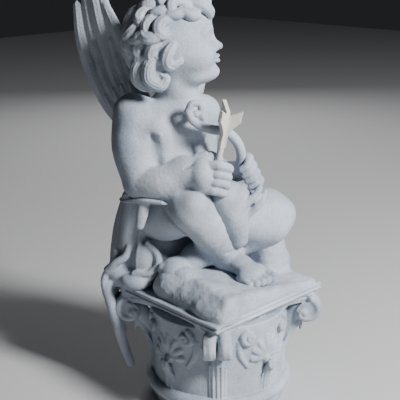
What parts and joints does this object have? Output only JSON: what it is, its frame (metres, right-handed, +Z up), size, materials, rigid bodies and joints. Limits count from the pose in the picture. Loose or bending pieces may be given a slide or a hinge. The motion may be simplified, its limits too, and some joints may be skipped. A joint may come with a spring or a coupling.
{
  "type": "cupid statue",
  "caption": "Winged child seated on a rock with bow, arrow and drapery, carved in pale stone, on a square slab over a column capital.",
  "frame": {"origin": "middle of the capital's flat underside, where the statue stands", "axes": "+Z up; the child's lap and the front of the square slab face -Y; the child's right side is on -X"},
  "size_m": [0.3382, 0.4481, 0.8423],
  "materials": {
    "figure_stone": "matte pale blue-grey carved stone",
    "capital_stone": "matte pale blue-grey carved stone, slightly rougher",
    "arrow_stone": "matte pale stone, slightly creamier"
  },
  "bodies": {
    "root": {"cupid_figure": "figure_stone", "capital": "capital_stone", "arrow": "arrow_stone"}
  },
  "joints": []
}
